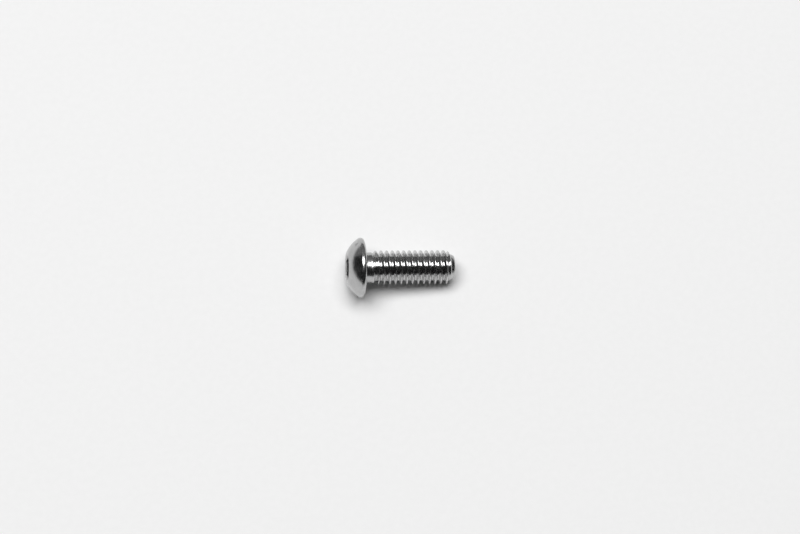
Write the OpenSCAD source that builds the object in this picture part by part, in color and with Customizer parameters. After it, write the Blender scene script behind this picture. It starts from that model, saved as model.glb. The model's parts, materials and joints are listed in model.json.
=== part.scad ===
// Button head socket screw, M6 x 16, lying on the rim of its head and the end of its thread.
// The screw is described standing on its axis, with the bearing face of the head at z = 0,
// the shank above it and the head below it, and is then laid down with its tip towards +X.

/* [Head] */
// Widest diameter of the head
head_d = 10.4; // [9.5:0.05:12.5]
// Height of the head, from the bearing face to the edge of the socket
head_h = 3; // [2.9:0.05:4]
// Height of the widest circle above the bearing face
rim_h = 0.65; // [0.55:0.05:1]
// Radius that blends the dome into the widest circle
rim_blend = 0.4; // [0.2:0.05:0.9]
// Radius that rounds the rim into the bearing face
bearing_round = 0.5; // [0.1:0.05:0.5]

/* [Socket] */
// Width across the flats of the hexagon
socket_flats = 4.04; // [3:0.01:5]
// Depth over which the hexagon is full
socket_depth = 2.1; // [1.5:0.05:2.6]
// Depth of the shallow cone in the floor, below the hexagon
floor_drop = 0.3; // [0.1:0.05:0.4]
// How far the edge of the funnel at the mouth lies outside the hexagon's corners
mouth_margin = 0.3; // [0.02:0.01:0.4]
// Full angle of the funnel at the mouth
mouth_angle = 110; // [90:5:140]
// How far the hexagon is turned about the axis of the screw, from one flat facing straight up
socket_turn = 18; // [0:1:59]

/* [Shank] */
// Length from the bearing face to the end of the shank
shank_length = 15.9; // [10:0.1:40]
// Outer diameter over the crests of the thread
thread_d = 5.95; // [5.5:0.05:6]
// Pitch of the thread, which sets the length of its run-out
thread_pitch = 1; // [0.5:0.05:1.25]
// Diameter of the plain neck between the head and the thread
neck_d = 5.3; // [4.9:0.05:5.4]
// Length of the plain neck
neck_length = 1.5; // [0.6:0.1:3]
// Radius of the fillet between the neck and the bearing face
neck_fillet = 0.4; // [0.25:0.05:0.8]

/* [Tip] */
// Diameter of the plain end where it leaves the thread
end_d = 4.5; // [3.9:0.05:4.7]
// Length of the plain end
end_length = 0.7; // [0.5:0.05:1.2]
// Angle at which the plain end narrows towards the tip, measured from the axis
end_taper = 20; // [0:1:35]
// Radius that rounds the edge of the tip
end_round = 0.35; // [0.1:0.05:0.45]
// Length over which the thread starts, between the plain end and its full diameter
lead_in = 0.45; // [0.3:0.05:1]

/* [Hidden] */
$fn = 144;

head_r = head_d / 2;
corner_r = socket_flats / 2 / cos(30);
mouth_r = corner_r + mouth_margin;
thread_r = thread_d / 2;
neck_r = neck_d / 2;
end_r = end_d / 2;

// The dome is the sphere about the axis that passes through the edge of the socket and
// that the blend circle touches from inside. dome_rise is how far its centre lies above
// the blend circle's, and solves
//     mouth_r^2 + (dome_rise + rise)^2 = dome_r^2
//     blend_x^2 + dome_rise^2 = (dome_r - rim_blend)^2
blend_x = head_r - rim_blend;
rise = head_h - rim_h;
gap = rise * rise - rim_blend * rim_blend;
spread = blend_x * blend_x - mouth_r * mouth_r - gap;
dome_rise = (spread * rise + rim_blend * norm([spread, 2 * blend_x * sqrt(gap)])) / gap / 2;
dome_r = norm([blend_x, dome_rise]) + rim_blend;
dome_z = dome_rise - rim_h;

// Height of the dome above the bearing face, as it is before the socket is cut.
dome_top = dome_r - dome_z;

// Axial places along the shank.
runout_end = neck_length + thread_pitch / 2;
end_start = shank_length - end_length;
thread_end = end_start - lead_in;

// The circle that rounds the tip touches its face and the narrowing side.
tip_z = shank_length - end_round;
tip_r = end_r - (tip_z - end_start) * tan(end_taper) - end_round / cos(end_taper);

// Angle by which the axis dips towards the tip, when the rounded rim and the last full
// thread both touch the ground.
rest_run = thread_end + bearing_round;
rest_rise = head_r - bearing_round - thread_r;
tilt = atan2(rest_rise, rest_run) + asin(bearing_round / norm([rest_run, rest_rise]));

// Height of the axis at the bearing face, above the ground.
axis_z = thread_end * sin(tilt) + thread_r * cos(tilt);

// Shift along X that brings the middle of the whole length over the origin.
reach_head = head_h * cos(tilt) + mouth_r * sin(tilt);
reach_tip = tip_z * cos(tilt) + tip_r * sin(tilt) + end_round;
axis_x = (reach_head - reach_tip) / 2;

// How far a shape runs past the surface that it joins or cuts.
over = 0.6;

// How far the blend circle reaches through the dome where they touch.
lap = 0.0002;

// Half section of the head: a dome, blended into a rim that rounds into the bearing face.
module head_section() {
    // The dome is kept on the inner side of the line from its centre through the blend's.
    difference() {
        intersection() {
            translate([0, dome_z]) circle(dome_r - lap);
            polygon([[0, dome_z], [0, -2 * dome_r], 2 * [blend_x, -rim_h] - [0, dome_z]]);
        }
        square([head_r, dome_z]);
    }
    translate([blend_x, -rim_h]) circle(rim_blend);
    translate([0, -rim_h]) square([head_r, rim_h - bearing_round]);
    translate([0, -rim_h]) square([head_r - bearing_round, rim_h]);
    translate([head_r - bearing_round, -bearing_round]) circle(bearing_round);
}

// Half section of the shank: neck, cylinder over the thread's crests and plain end.
module shank_section() {
    polygon([
        [0, -over], [neck_r, -over], [neck_r, neck_length], [thread_r, runout_end],
        [thread_r, thread_end], [end_r, end_start],
        [tip_r, tip_z] + end_round * [cos(end_taper), sin(end_taper)],
        [tip_r, tip_z], [tip_r, shank_length], [0, shank_length]
    ]);
    translate([tip_r, tip_z]) circle(end_round);
    difference() {
        translate([neck_r, 0]) square(neck_fillet);
        translate([neck_r + neck_fillet, neck_fillet]) circle(neck_fillet);
    }
}

// Hexagon socket with a conical floor and a funnel at its mouth, one flat facing along X.
module socket() {
    slope = tan(mouth_angle / 2);
    funnel_end_r = mouth_r / 2;
    funnel_depth = (mouth_r - funnel_end_r) / slope;
    above = dome_top - head_h + over;
    translate([0, 0, -head_h - above])
        rotate([0, 0, 30])
            cylinder(h = socket_depth + above, r = corner_r, $fn = 6);
    translate([0, 0, -head_h + socket_depth])
        cylinder(h = floor_drop, r1 = socket_flats / 2, r2 = 0);
    translate([0, 0, -head_h - above])
        cylinder(h = funnel_depth + above, r1 = mouth_r + above * slope, r2 = funnel_end_r);
}

// The whole screw, turned and forged from one bar, laid down on the ground.
module screw() {
    color("silver")
        translate([axis_x, 0, axis_z])
            rotate([0, 90 + tilt, 0])
                difference() {
                    rotate_extrude() {
                        head_section();
                        shank_section();
                    }
                    rotate([0, 0, socket_turn]) socket();
                }
}

screw();
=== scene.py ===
"""The visual model of the button head socket screw, and the studio that it is seen in.

The screw is one mesh, made in its own coordinates: its axis is Z, the bearing face of the
head is at z = 0, the head lies below it and the shank above. The place and the axis that
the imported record's mounts give lay it down. Its sizes are in millimetres, and everything
in Blender is in metres.
"""

import json
from math import acos, atan2, cos, hypot, pi, radians, sin, sqrt, tan

import bmesh
import bpy
import numpy as np
from mathutils import Matrix, Vector


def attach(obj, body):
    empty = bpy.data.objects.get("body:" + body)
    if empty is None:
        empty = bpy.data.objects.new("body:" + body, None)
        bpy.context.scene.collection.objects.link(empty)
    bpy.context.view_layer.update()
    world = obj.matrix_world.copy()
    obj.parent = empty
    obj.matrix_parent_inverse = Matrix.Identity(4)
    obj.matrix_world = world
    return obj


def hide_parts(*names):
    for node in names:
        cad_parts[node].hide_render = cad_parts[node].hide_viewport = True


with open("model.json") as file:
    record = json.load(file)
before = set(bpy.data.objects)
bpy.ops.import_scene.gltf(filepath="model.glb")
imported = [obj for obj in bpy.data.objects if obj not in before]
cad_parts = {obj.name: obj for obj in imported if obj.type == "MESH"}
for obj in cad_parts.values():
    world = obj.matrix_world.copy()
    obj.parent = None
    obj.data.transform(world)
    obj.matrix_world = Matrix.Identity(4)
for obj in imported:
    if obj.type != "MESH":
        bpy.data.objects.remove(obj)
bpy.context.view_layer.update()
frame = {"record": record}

MM = 0.001

# ------------------------------------------------------------- sizes of the screw, in mm

HEAD_R = 5.2
HEAD_H = 3.0
RIM_H = 0.65
RIM_BLEND = 0.4
BEARING_ROUND = 0.5

SOCKET_FLATS = 4.04
SOCKET_DEPTH = 2.1
FLOOR_DROP = 0.3
MOUTH_MARGIN = 0.3
MOUTH_ANGLE = radians(110)
SOCKET_TURN = radians(18)
HEX_CORNER_ROUND = 0.09
LIP_ROUND = 0.5
WALL_TOP_ROUND = 0.06
FLOOR_ROUND = 0.12

SHANK_LENGTH = 15.9
NECK_R = 2.65
NECK_FILLET = 0.4
END_R = 2.25
END_LENGTH = 0.7
END_TAPER = radians(20)
END_ROUND = 0.35
LEAD_IN = 0.45

PITCH = 1.0
ROOT_R = 2.36
CREST_FLAT = PITCH / 8
FLANK_ANGLE = radians(30)
CREST_ROUND = 0.06
ROOT_ROUND = 0.06
RUNOUT_START = 1.0
RUNOUT = 1.3

# The middle of a dull mark on the dome, in the screw's own coordinates.
SMUDGE_PLACE = (-3.41, 3.1, -1.5)

METAL_TONE = 0.47
PAPER_TONE = 0.85

# ------------------------------------------------------------------ where the screw lies

mounts = {mount["name"]: mount for mount in frame["record"]["mounts"]}
axis = Vector(mounts["thread"]["axis"]).normalized()
thread_middle = Vector(mounts["thread"]["pos_m"])
bearing_point = Vector(mounts["bearing_face"]["pos_m"])
bearing_centre = thread_middle - axis * (thread_middle - bearing_point).dot(axis)
THREAD_R = mounts["thread"]["dims"]["r_mm"]

side_axis = Vector((0, 1, 0))
turned = Matrix((side_axis.cross(axis), side_axis, axis)).transposed()
LAID_DOWN = Matrix.Translation(bearing_centre) @ turned.to_4x4()

# ----------------------------------------------------------------- outlines, (r, z) in mm

MOUTH_R = SOCKET_FLATS / 2 / cos(pi / 6) + MOUTH_MARGIN
END_START = SHANK_LENGTH - END_LENGTH
THREAD_END = END_START - LEAD_IN
# Here the rows that follow the thread give way to the tip's level rings.
TIP_START = END_START + 0.1

# How many steps the mesh takes over each round edge, and over what lies between them.
FILLET_STEPS = 10
EDGE_STEPS = 12
DOME_STEPS = 40
SOCKET_EDGE_STEPS = 5
SOCKET_WALL_STEPS = 7
FLOOR_CORNER_STEPS = 3
FLOOR_CONE_STEPS = 8
THREAD_EDGE_STEPS = 4
FLANK_STEPS = 3


def arc(centre, radius, start, stop, steps):
    """Points on an arc, from one angle to another, both ends included."""
    turns = np.linspace(start, stop, steps + 1)
    return [(centre[0] + radius * cos(a), centre[1] + radius * sin(a)) for a in turns]


def straight(start, stop, steps):
    """Points that divide a line evenly, both ends included."""
    return [tuple(point) for point in np.linspace(start, stop, steps + 1)]


def rounded(points, radii, steps):
    """A polyline whose inner corners are rounded, each by its own radius."""
    made = [tuple(points[0])]
    for before, corner, after, radius in zip(points, points[1:], points[2:], radii):
        before, corner, after = Vector(before), Vector(corner), Vector(after)
        to_before = (before - corner).normalized()
        to_after = (after - corner).normalized()
        half = to_before.angle(to_after) / 2
        centre = corner + (to_before + to_after).normalized() * (radius / sin(half))
        first = corner + to_before * (radius / tan(half)) - centre
        last = corner + to_after * (radius / tan(half)) - centre
        start = atan2(first.y, first.x)
        swept = atan2(first.x * last.y - first.y * last.x, first.dot(last))
        made += arc(centre, radius, start, start + swept, steps)
    return made + [tuple(points[-1])]


def dome_circle():
    """Height of the dome's centre and its radius. The rim's blend touches it from inside."""
    blend_r = HEAD_R - RIM_BLEND
    rise = HEAD_H - RIM_H
    gap = rise**2 - RIM_BLEND**2
    spread = blend_r**2 - MOUTH_R**2 - gap
    slant = hypot(spread, 2 * blend_r * sqrt(gap))
    dome_rise = (spread * rise + RIM_BLEND * slant) / gap / 2
    return dome_rise - RIM_H, hypot(blend_r, dome_rise) + RIM_BLEND


def head_outline():
    """From the neck's end, over the bearing face, rim and dome, nearly to the socket."""
    # The underside stops this much short of the neck's ring and of the bearing face's round.
    spare = 0.1
    flat_r = HEAD_R - BEARING_ROUND
    neck_top = (NECK_R, RUNOUT_START - spare)
    underside = rounded([neck_top, (NECK_R, 0), (flat_r - spare, 0)], [NECK_FILLET], FILLET_STEPS)
    bearing = arc((flat_r, -BEARING_ROUND), BEARING_ROUND, pi / 2, 0, EDGE_STEPS)
    dome_z, dome_r = dome_circle()
    blend_r = HEAD_R - RIM_BLEND
    touch = -atan2(dome_z + RIM_H, blend_r)
    blend = arc((blend_r, -RIM_H), RIM_BLEND, 0, touch, EDGE_STEPS)
    dome = arc((0, dome_z), dome_r, touch, -acos((MOUTH_R + LIP_ROUND) / dome_r), DOME_STEPS)
    return underside + bearing + blend + dome[1:]


def tip_outline(start_r, start_z):
    """From the end of the thread, over the narrowing end and its round edge, to the axis."""
    inner_r = 0.2
    taper_top = END_R - (SHANK_LENGTH - END_START) * tan(END_TAPER)
    corners = [(start_r, start_z), (taper_top, SHANK_LENGTH), (inner_r, SHANK_LENGTH)]
    return rounded(corners, [END_ROUND], EDGE_STEPS)[1:] + [(inner_r / 2, SHANK_LENGTH)]


# -------------------------------------------------------------------------- screw's mesh

COLUMNS = 192
SIDE_COLUMNS = COLUMNS // 6
CORNER_COLUMNS = 6

# The first column runs through a corner of the hexagon.
FIRST_ANGLE = SOCKET_TURN + pi / 6
angles = FIRST_ANGLE + 2 * pi * np.arange(COLUMNS) / COLUMNS


class Skin:
    """Points and faces, gathered ring by ring."""

    def __init__(self):
        self.points = []
        self.faces = []

    def add(self, points):
        """Adds an array of points and returns their numbers."""
        first = len(self.points)
        self.points += [tuple(point) for point in points]
        return np.arange(first, len(self.points))

    def ring(self, r, z, around=angles):
        """A ring about the axis. Each of r, z and around is a number or one a column."""
        r, z, around = np.broadcast_arrays(r, z, around, np.zeros(COLUMNS))[:3]
        return self.add(np.stack([r * np.cos(around), r * np.sin(around), z], axis=1))

    def join(self, one, other):
        """Quads between two rings."""
        following = np.roll(one, -1), np.roll(other, -1)
        self.faces += [list(face) for face in zip(one, following[0], following[1], other)]

    def join_all(self, rings):
        """Quads between each ring and the next."""
        for one, other in zip(rings, rings[1:]):
            self.join(one, other)

    def close(self, ring, z):
        """A fan from a ring to a point on the axis."""
        middle = self.add([(0, 0, z)])[0]
        self.faces += [[a, b, middle] for a, b in zip(ring, np.roll(ring, -1))]


def hexagon():
    """The socket's outline as (r, angle), one point a column, with small arcs at its corners."""
    number = np.arange(COLUMNS)
    corner = (number + SIDE_COLUMNS // 2) // SIDE_COLUMNS
    step = number - corner * SIDE_COLUMNS
    # The columns next to a corner turn round its arc, and the ones beyond run along a flat.
    turn = pi / 6 * np.clip(step / CORNER_COLUMNS, -1, 1)
    flat_columns = SIDE_COLUMNS / 2 - CORNER_COLUMNS
    beyond = np.clip(np.abs(step) - CORNER_COLUMNS, 0, None) / flat_columns
    arc_flat = SOCKET_FLATS / 2 - HEX_CORNER_ROUND
    run = beyond * arc_flat * tan(pi / 6)
    x = arc_flat / cos(pi / 6) + HEX_CORNER_ROUND * np.cos(turn) - run * sin(pi / 6)
    y = HEX_CORNER_ROUND * np.sin(turn) + run * cos(pi / 6) * np.sign(step)
    return np.hypot(x, y), FIRST_ANGLE + corner * pi / 3 + np.arctan2(y, x)


def rings_along(skin, outlines, around):
    """Rings through outlines of equal length, one a column, as (r, z) points."""
    return [skin.ring(r, z, around) for r, z in np.moveaxis(outlines, 0, 2)]


def add_socket(skin, dome_edge, dome_edge_ring):
    """The funnel at the mouth, the hexagon's walls and the shallow cone of the floor."""
    wall_r, wall_angles = hexagon()
    floor_z = SOCKET_DEPTH - HEAD_H
    floor_reach = 0.3
    radii = (LIP_ROUND, WALL_TOP_ROUND, FLOOR_ROUND)
    outlines = []
    for r in wall_r:
        funnel_foot = (r, -HEAD_H + (MOUTH_R - r) / tan(MOUTH_ANGLE / 2))
        wall = [funnel_foot, (r, floor_z), (r - floor_reach, floor_z)]
        corners = [dome_edge, (MOUTH_R, -HEAD_H)] + wall
        outlines.append(rounded(corners, radii, SOCKET_EDGE_STEPS)[1:-1])
    lip, wall_top, wall_foot = np.split(np.array(outlines), len(radii), axis=1)

    rings = [dome_edge_ring]
    rings += rings_along(skin, lip, angles)
    rings += rings_along(skin, wall_top, wall_angles)
    top_z, foot_z = wall_top[:, -1, 1], wall_foot[:, 0, 1]
    for part in np.linspace(0, 1, SOCKET_WALL_STEPS + 1)[1:-1]:
        rings.append(skin.ring(wall_r, top_z + part * (foot_z - top_z), wall_angles))
    rings += rings_along(skin, wall_foot, wall_angles)

    # The corners of the floor are level; inside the circle that fits the flats it sinks.
    cone_r = SOCKET_FLATS / 2 - FLOOR_ROUND
    edge_r = wall_foot[:, -1, 0]
    level_r = cone_r - 0.05
    innermost = 0.1
    for part in np.linspace(0, 1, FLOOR_CORNER_STEPS + 1)[1:]:
        rings.append(skin.ring(edge_r + part * (level_r - edge_r), floor_z, wall_angles))
    for part in np.linspace(1, innermost, FLOOR_CONE_STEPS + 1)[1:]:
        rings.append(skin.ring(part * cone_r, floor_z + (1 - part) * FLOOR_DROP, wall_angles))
    skin.join_all(rings)
    skin.close(rings[-1], floor_z + FLOOR_DROP)


def thread_profile():
    """From a crest's middle to the next root's, as (axial offset, radius) points."""
    foot = CREST_FLAT / 2 + (THREAD_R - ROOT_R) * tan(FLANK_ANGLE)
    corners = [(0, THREAD_R), (CREST_FLAT / 2, THREAD_R), (foot, ROOT_R), (PITCH / 2, ROOT_R)]
    edges = rounded(corners, [CREST_ROUND, ROOT_ROUND], THREAD_EDGE_STEPS)
    middle = len(edges) // 2
    crest, root = edges[:middle], edges[middle:]
    flank = straight(crest[-1], root[0], FLANK_STEPS)[1:-1]
    return np.array(crest + flank + root)


def lead_in_radius(z):
    """The cone from the thread's full radius to the plain end, which cuts the first turn."""
    slope = (THREAD_R - END_R) / LEAD_IN
    soft = 0.03
    return END_R + slope * soft * np.logaddexp(0, (END_START - z) / soft)


def thread_radius(z, around, profile):
    """The radius of the threaded surface at height z and angle around."""
    crest = THREAD_END + PITCH * around / (2 * pi)
    offset = np.abs((z - crest + PITCH / 2) % PITCH - PITCH / 2)
    cut = np.interp(offset, profile[:, 0], profile[:, 1])
    part = np.clip((z - RUNOUT_START) / RUNOUT, 0, 1)
    full = NECK_R + part * part * (3 - 2 * part) * (cut - NECK_R)
    cone = lead_in_radius(z)
    # The smaller of the two, with a soft edge where they cross.
    soft = 0.02
    return -soft * np.logaddexp(-full / soft, -cone / soft)


def add_thread(skin, neck_ring):
    """The right-hand thread. Its rows follow the helix, and stop at the neck and the tip."""
    profile = thread_profile()
    offsets = np.concatenate([profile[:, 0], PITCH - profile[-2:0:-1, 0]])
    rows_a_turn = len(offsets)
    # Enough turns that every column passes both ends.
    low = int(np.floor((RUNOUT_START - THREAD_END) / PITCH)) - 2
    high = int(np.ceil((TIP_START - THREAD_END) / PITCH)) + 1
    rows = np.concatenate([THREAD_END + turn * PITCH + offsets for turn in range(low, high)])
    z = rows[:, None] + PITCH * angles[None, :] / (2 * pi)

    # Whatever lies past the neck's ring or the tip's, or nearly on it, becomes that ring.
    spare = 0.004
    at_neck = z < RUNOUT_START + spare
    at_tip = z > TIP_START - spare
    inside = ~(at_neck | at_tip)
    tip_ring = skin.ring(thread_radius(TIP_START, angles, profile), TIP_START)
    numbers = np.where(at_neck, neck_ring[None, :], tip_ring[None, :])
    r = thread_radius(z, angles[None, :], profile)
    around = np.broadcast_to(angles, z.shape)
    placed = np.stack([r * np.cos(around), r * np.sin(around), z], axis=2)
    numbers[inside] = skin.add(placed[inside])

    # Past the last column comes the first one again, a whole turn of rows further on.
    last = len(rows) - 1
    wrapped = numbers[np.minimum(np.arange(len(rows)) + rows_a_turn, last), 0]
    numbers = np.column_stack([numbers, wrapped])
    corners = [numbers[:-1, :-1], numbers[:-1, 1:], numbers[1:, 1:], numbers[1:, :-1]]
    for face in np.stack(corners, axis=2).reshape(-1, 4):
        kept = [number for number, following in zip(face, np.roll(face, -1)) if number != following]
        if len(kept) > 2:
            skin.faces.append(kept)
    return tip_ring


def screw_skin():
    """The screw's whole closed skin: head and socket, thread, and tip."""
    skin = Skin()
    neck_ring = skin.ring(NECK_R, RUNOUT_START)
    outline = head_outline()
    head = [neck_ring] + [skin.ring(r, z) for r, z in outline]
    skin.join_all(head)
    add_socket(skin, outline[-1], head[-1])
    tip_ring = add_thread(skin, neck_ring)
    tip_x, tip_y, tip_z = skin.points[tip_ring[0]]
    tip = [skin.ring(r, z) for r, z in tip_outline(hypot(tip_x, tip_y), tip_z)]
    skin.join_all([tip_ring] + tip)
    skin.close(tip[-1], SHANK_LENGTH)
    return skin


def make_screw():
    """The screw as one smooth mesh, laid down on the floor."""
    skin = screw_skin()
    points = (np.array(skin.points) * MM).tolist()
    faces = [[int(number) for number in face] for face in skin.faces]
    mesh = bpy.data.meshes.new("screw_skin")
    mesh.from_pydata(points, [], faces)
    mesh.transform(LAID_DOWN)
    shape = bmesh.new()
    shape.from_mesh(mesh)
    bmesh.ops.recalc_face_normals(shape, faces=shape.faces)
    shape.to_mesh(mesh)
    shape.free()
    mesh.shade_smooth()
    body = bpy.data.objects.new("screw_body", mesh)
    bpy.context.scene.collection.objects.link(body)
    weighted = body.modifiers.new("flat_faces_stay_flat", "WEIGHTED_NORMAL")
    weighted.mode = "FACE_AREA_WITH_ANGLE"
    return body


# ----------------------------------------------------------------------------- materials


class Graph:
    """A new material, with short ways to add nodes to it."""

    def __init__(self, name):
        self.material = bpy.data.materials.new(name)
        self.material.use_nodes = True
        self.tree = self.material.node_tree
        self.shader = self.tree.nodes["Principled BSDF"]

    def node(self, kind, **settings):
        """A new shader node with its settings."""
        made = self.tree.nodes.new("ShaderNode" + kind)
        for name, value in settings.items():
            setattr(made, name, value)
        return made

    def feed(self, socket, value):
        """Links a socket to another one's output, or sets it to a number or a vector."""
        if isinstance(value, bpy.types.NodeSocket):
            self.tree.links.new(value, socket)
        else:
            socket.default_value = value

    def math(self, operation, *values):
        """The result of one operation on one or two values."""
        made = self.node("Math", operation=operation)
        for socket, value in zip(made.inputs, values):
            self.feed(socket, value)
        return made.outputs["Value"]

    def product(self, *values):
        """All the values, multiplied."""
        made = values[0]
        for value in values[1:]:
            made = self.math("MULTIPLY", made, value)
        return made

    def total(self, *values):
        """All the values, added."""
        made = values[0]
        for value in values[1:]:
            made = self.math("ADD", made, value)
        return made

    def step(self, value, start, stop, low=0.0, high=1.0):
        """Goes smoothly from low to high as the value goes from start to stop."""
        made = self.node("MapRange", interpolation_type="SMOOTHSTEP")
        ends = {"From Min": start, "From Max": stop, "To Min": low, "To Max": high}
        for name, number in ends.items():
            made.inputs[name].default_value = number
        self.feed(made.inputs["Value"], value)
        return made.outputs["Result"]

    def blend(self, mask, outside, inside):
        """One number where the mask is 0, and another where it is 1."""
        return self.step(mask, 0, 1, outside, inside)

    def varied(self, noise, low, high, spread=0.2):
        """From low to high, as a noise goes from a spread under its middle to one over it."""
        middle = 0.5
        return self.step(noise, middle - spread, middle + spread, low, high)

    def vector(self, x, y, z):
        """A vector or a colour from three values."""
        made = self.node("CombineXYZ")
        for socket, value in zip(made.inputs, (x, y, z)):
            self.feed(socket, value)
        return made.outputs["Vector"]

    def stretched(self, place, size, turn=(0, 0, 0)):
        """The place, measured along turned axes, in units of a size for each axis."""
        made = self.node("Mapping", vector_type="TEXTURE")
        self.feed(made.inputs["Vector"], place)
        made.inputs["Scale"].default_value = size
        made.inputs["Rotation"].default_value = turn
        return made.outputs["Vector"]

    def noise(self, place, scale=1.0, detail=2.0, w=None):
        """Cloudy values that keep mostly between 0.3 and 0.7."""
        made = self.node("TexNoise", noise_dimensions="3D" if w is None else "4D")
        self.feed(made.inputs["Vector"], place)
        made.inputs["Scale"].default_value = scale
        made.inputs["Detail"].default_value = detail
        if w is not None:
            self.feed(made.inputs["W"], w)
        return made.outputs["Fac"]

    def set_grey(self, tone):
        """Gives the shader a grey colour of this tone."""
        self.feed(self.shader.inputs["Base Color"], self.vector(tone, tone, tone))

    def set_relief(self, height, unit):
        """Gives the shader its bumps, from a height in a unit of so many metres."""
        made = self.node("Bump")
        made.inputs["Distance"].default_value = unit
        self.feed(made.inputs["Height"], height)
        self.feed(self.shader.inputs["Normal"], made.outputs["Normal"])


class SteelSurface(Graph):
    """Bright steel: a tumbled dome, a rolled thread, a punched socket and a sheared end."""

    def __init__(self, name):
        super().__init__(name)
        self.find_place()
        self.find_zones()
        self.find_marks()

    def find_place(self):
        """Where on the screw each point of the surface is, in its own coordinates and in mm."""
        back = LAID_DOWN.inverted()
        mapping = self.node("Mapping")
        self.feed(mapping.inputs["Vector"], self.node("TexCoord").outputs["Object"])
        mapping.inputs["Location"].default_value = back.to_translation() / MM
        mapping.inputs["Rotation"].default_value = back.to_euler()
        mapping.inputs["Scale"].default_value = (1 / MM, 1 / MM, 1 / MM)
        self.place = mapping.outputs["Vector"]
        split = self.node("SeparateXYZ")
        self.feed(split.inputs["Vector"], self.place)
        self.x, self.y, self.z = split.outputs
        # The small third part keeps the divisions below from a zero on the axis.
        squares = self.total(self.product(self.x, self.x), self.product(self.y, self.y), 0.0001)
        self.r = self.math("SQRT", squares)
        self.around = self.math("DIVIDE", self.x, self.r), self.math("DIVIDE", self.y, self.r)

    def find_zones(self):
        """Masks of the socket, the thread, its roots and seam, the tip and its end face."""
        on_head = self.step(self.z, 0.02, -0.02)
        in_mouth = self.step(self.r, MOUTH_R + 0.02, MOUTH_R - 0.08)
        below_funnel = self.step(self.z, 0.2 - HEAD_H, 0.4 - HEAD_H)
        self.socket = self.product(on_head, in_mouth, below_funnel)
        rising = self.step(self.z, RUNOUT_START, RUNOUT_START + RUNOUT)
        self.threaded = self.product(rising, self.step(self.z, END_START, THREAD_END))
        self.tip = self.step(self.z, END_START, TIP_START)
        self.end_face = self.step(self.z, SHANK_LENGTH - 0.05, SHANK_LENGTH - 0.01)
        # The phase is 0 at a crest and 0.5 at a root. Rolling leaves its seam along the crest.
        turn = self.math("DIVIDE", self.math("ARCTAN2", self.y, self.x), 2 * pi)
        along = self.math("DIVIDE", self.math("SUBTRACT", self.z, THREAD_END), PITCH)
        self.phase = self.math("FRACT", self.math("SUBTRACT", along, turn))
        from_root = self.math("ABSOLUTE", self.math("SUBTRACT", self.phase, 0.5))
        self.root = self.product(self.threaded, self.step(from_root, 0.22, 0.04))
        self.seam = self.product(self.threaded, self.step(from_root, 0.47, 0.495))

    def find_marks(self):
        """Unevenness, and marks of making and use, for the tone, the roughness and the height."""
        # A noise's scale is in waves a millimetre, and a stretched place's sizes are in mm.
        self.clouds = self.noise(self.place, 0.9, 3)
        self.mottle = self.noise(self.place, 3.5, 3)
        self.grain = self.noise(self.place, 11, 3)
        self.turned = self.turned_lines(13)
        self.rolled = self.product(self.threaded, self.rolled_lines(24))
        self.scratched = self.scratches()
        self.dented = self.dents()
        self.smudged = self.smudge()
        drawn = self.noise(self.stretched(self.place, (0.07, 0.07, 0.8)), detail=2)
        self.punched = self.product(self.socket, drawn)
        torn = self.noise(self.stretched(self.place, (0.4, 0.06, 1)), detail=3)
        self.sheared = self.product(self.end_face, torn)

    def turned_lines(self, fineness, sway=0.6):
        """Fine lines around the axis, such as turning and tumbling leave."""
        x, y = (self.product(part, sway) for part in self.around)
        r, z = (self.product(part, fineness) for part in (self.r, self.z))
        return self.noise(self.vector(r, z, x), detail=3, w=y)

    def rolled_lines(self, fineness, sway=1.5):
        """Fine lines along the thread, which the rolling dies leave on its flanks."""
        x, y = (self.product(part, sway) for part in self.around)
        across = self.product(self.phase, fineness)
        return self.noise(self.vector(across, x, y), detail=3, w=self.z)

    def scratches(self):
        """Short, thin and sparse, in three directions."""
        marks = []
        for turn in ((0.3, 0.5, 0.2), (1.2, 0.1, 1.0), (0.7, 1.9, 2.4)):
            groups = self.noise(self.stretched(self.place, (1, 1, 1), turn))
            lines = self.noise(self.stretched(self.place, (0.9, 0.04, 0.04), turn), detail=1)
            marks.append(self.product(self.step(groups, 0.45, 0.6), self.step(lines, 0.70, 0.76)))
        return self.math("MINIMUM", self.total(*marks), 1.0)

    def dents(self):
        """Shallow round marks of other screws, in some cells of a loose grid."""
        cells = self.node("TexVoronoi", feature="F1")
        self.feed(cells.inputs["Vector"], self.place)
        cells.inputs["Scale"].default_value = 1.1
        chance = self.node("SeparateColor")
        self.feed(chance.inputs["Color"], cells.outputs["Color"])
        chosen = self.step(chance.outputs["Red"], 0.55, 0.65)
        return self.product(chosen, self.step(cells.outputs["Distance"], 0.22, 0.04))

    def smudge(self):
        """One dull mark on the dome, with a ragged edge."""
        away = self.node("VectorMath", operation="DISTANCE")
        self.feed(away.inputs[0], self.place)
        away.inputs[1].default_value = SMUDGE_PLACE
        edge = self.noise(self.place, 2.5, 2)
        distance = self.total(away.outputs["Value"], self.product(edge, 0.8))
        return self.step(distance, 1.0, 0.5)

    def tone(self):
        """The metal's tone, and how much each unevenness, zone and mark changes it. Darkening the
        socket's walls is painted shade in the hole.
        """
        return self.product(
            METAL_TONE,
            self.varied(self.clouds, 0.93, 1.07),
            self.varied(self.mottle, 0.94, 1.06),
            self.varied(self.turned, 0.96, 1.04),
            self.blend(self.threaded, 1, 1.15),
            # The thread's roots are 4 percent darker.
            self.blend(self.root, 1, 0.96),
            self.blend(self.seam, 1, 0.95),
            # Painted shade: the walls inside the socket get only 0.55 of the tone, so the hole
            # looks dark.
            self.blend(self.socket, 1, 0.55),
            self.blend(self.end_face, 1, 0.88),
            self.blend(self.scratched, 1, 1.08),
            self.blend(self.smudged, 1, 0.72),
        )

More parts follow.
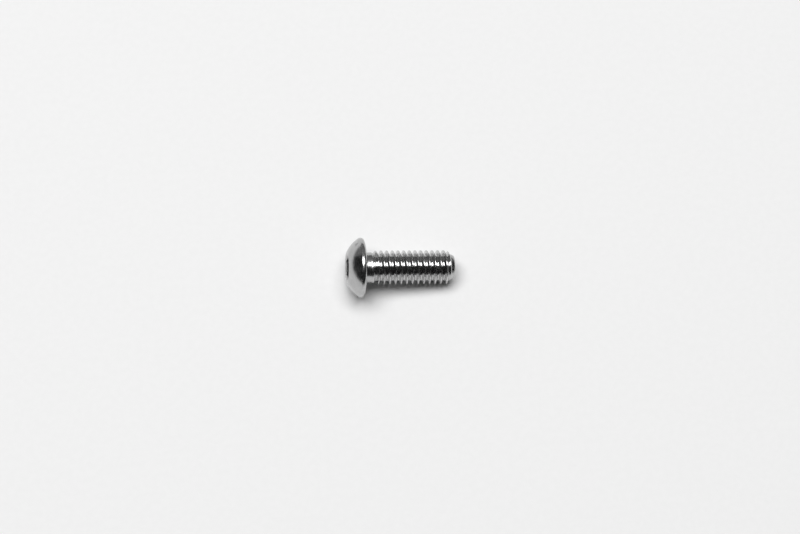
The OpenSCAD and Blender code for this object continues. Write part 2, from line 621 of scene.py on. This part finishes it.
    def roughness(self):
        """The tumbled metal's roughness, and what each zone and mark adds to it."""
        return self.total(
            self.varied(self.clouds, 0.15, 0.21, spread=0.15),
            self.product(0.06, self.varied(self.mottle, 0, 1, spread=0.15)),
            self.product(0.05, self.socket),
            self.product(0.04, self.tip),
            self.product(0.12, self.end_face),
            self.product(-0.07, self.threaded),
            self.product(0.10, self.scratched),
            self.product(0.15, self.smudged),
        )

    def height(self):
        """The height of each unevenness and mark, in mm. The thread is smoother than the rest."""
        return self.total(
            self.product(self.blend(self.threaded, 0.0035, 0.0008), self.clouds),
            self.product(self.blend(self.threaded, 0.0012, 0.0002), self.mottle),
            self.product(0.0003, self.grain),
            self.product(0.0005, self.turned),
            self.product(0.0003, self.rolled),
            self.product(-0.0004, self.seam),
            self.product(-0.0012, self.scratched),
            self.product(self.blend(self.threaded, -0.004, -0.001), self.dented),
            self.product(0.003, self.punched),
            self.product(0.005, self.sheared),
        )


def steel():
    """The screw's metal."""
    surface = SteelSurface("bright_steel")
    surface.set_grey(surface.tone())
    surface.shader.inputs["Metallic"].default_value = 1
    surface.feed(surface.shader.inputs["Roughness"], surface.roughness())
    surface.set_relief(surface.height(), MM)
    return surface.material


def paper():
    """White card, very slightly uneven."""
    card = Graph("white_paper")
    place = card.node("TexCoord").outputs["Object"]
    fibres = card.noise(place, 900, 3)
    card.set_grey(card.varied(fibres, PAPER_TONE - 0.006, PAPER_TONE + 0.006))
    card.shader.inputs["Roughness"].default_value = 1
    card.shader.inputs["Specular IOR Level"].default_value = 0
    card.set_relief(fibres, 0.02 * MM)
    return card.material


# -------------------------------------------------------------------------------- studio


def add_floor():
    """A wide sheet of white card."""
    reach = 2.0
    corners = [(-reach, -reach, 0), (reach, -reach, 0), (reach, reach, 0), (-reach, reach, 0)]
    mesh = bpy.data.meshes.new("floor")
    mesh.from_pydata(corners, [], [(0, 1, 2, 3)])
    floor = bpy.data.objects.new("floor", mesh)
    bpy.context.scene.collection.objects.link(floor)
    mesh.materials.append(paper())


def add_lamp():
    """One level, elliptical soft box overhead, facing down."""
    height = 1.5
    # Opposite corners, as (x, y), of the rectangle that it just fits.
    low, high = (-0.93, -0.21), (0.66, 0.67)
    data = bpy.data.lights.new("soft_box", "AREA")
    data.shape = "ELLIPSE"
    data.size = high[0] - low[0]
    data.size_y = high[1] - low[1]
    data.energy = 27.0
    lamp = bpy.data.objects.new("soft_box", data)
    bpy.context.scene.collection.objects.link(lamp)
    lamp.location = ((low[0] + high[0]) / 2, (low[1] + high[1]) / 2, height)


def add_world():
    """A dark room with a grey wall behind the screw and a pale band along the floor."""
    world = bpy.data.worlds.new("studio")
    bpy.context.scene.world = world
    world.use_nodes = True
    tree = world.node_tree
    direction = tree.nodes.new("ShaderNodeTexCoord")
    split = tree.nodes.new("ShaderNodeSeparateXYZ")
    tree.links.new(direction.outputs["Generated"], split.inputs["Vector"])
    brighter = tree.nodes.new("ShaderNodeMath")
    brighter.operation = "MAXIMUM"
    # The component of the direction that each part of the room goes by, then where along it
    # the part starts and is full, and its tones there.
    ends = ("From Min", "From Max", "To Min", "To Max")
    wall = ("Y", (0.36, 0.58, 0.02, 0.2))
    horizon = ("Z", (0.12, 0.0, 0.02, 0.25))
    for socket, (component, numbers) in zip(brighter.inputs, (wall, horizon)):
        part = tree.nodes.new("ShaderNodeMapRange")
        part.interpolation_type = "SMOOTHSTEP"
        for name, number in zip(ends, numbers):
            part.inputs[name].default_value = number
        tree.links.new(split.outputs[component], part.inputs["Value"])
        tree.links.new(part.outputs["Result"], socket)
    tree.links.new(brighter.outputs["Value"], tree.nodes["Background"].inputs["Color"])


def add_camera():
    """A long lens, high above the screw and looking down on its side."""
    lens = 100
    # What the picture shows at the target, from left to right.
    width = 0.1395
    elevation, azimuth = radians(72), radians(3.1)
    target = Vector((0.00004, 0.00005, 0.0042))
    out = Vector((-sin(azimuth) * cos(elevation), -cos(azimuth) * cos(elevation), sin(elevation)))
    data = bpy.data.cameras.new("camera")
    data.lens = lens
    data.clip_start = 0.01
    distance = width * lens / data.sensor_width
    camera = bpy.data.objects.new("camera", data)
    bpy.context.scene.collection.objects.link(camera)
    camera.location = target + out * distance
    camera.rotation_euler = (-out).to_track_quat("-Z", "Y").to_euler()
    bpy.context.scene.camera = camera


screw = make_screw()
screw.data.materials.append(steel())
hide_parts("screw")
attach(screw, "root")

add_floor()
add_lamp()
add_world()
add_camera()
bpy.context.scene.view_settings.view_transform = "Standard"
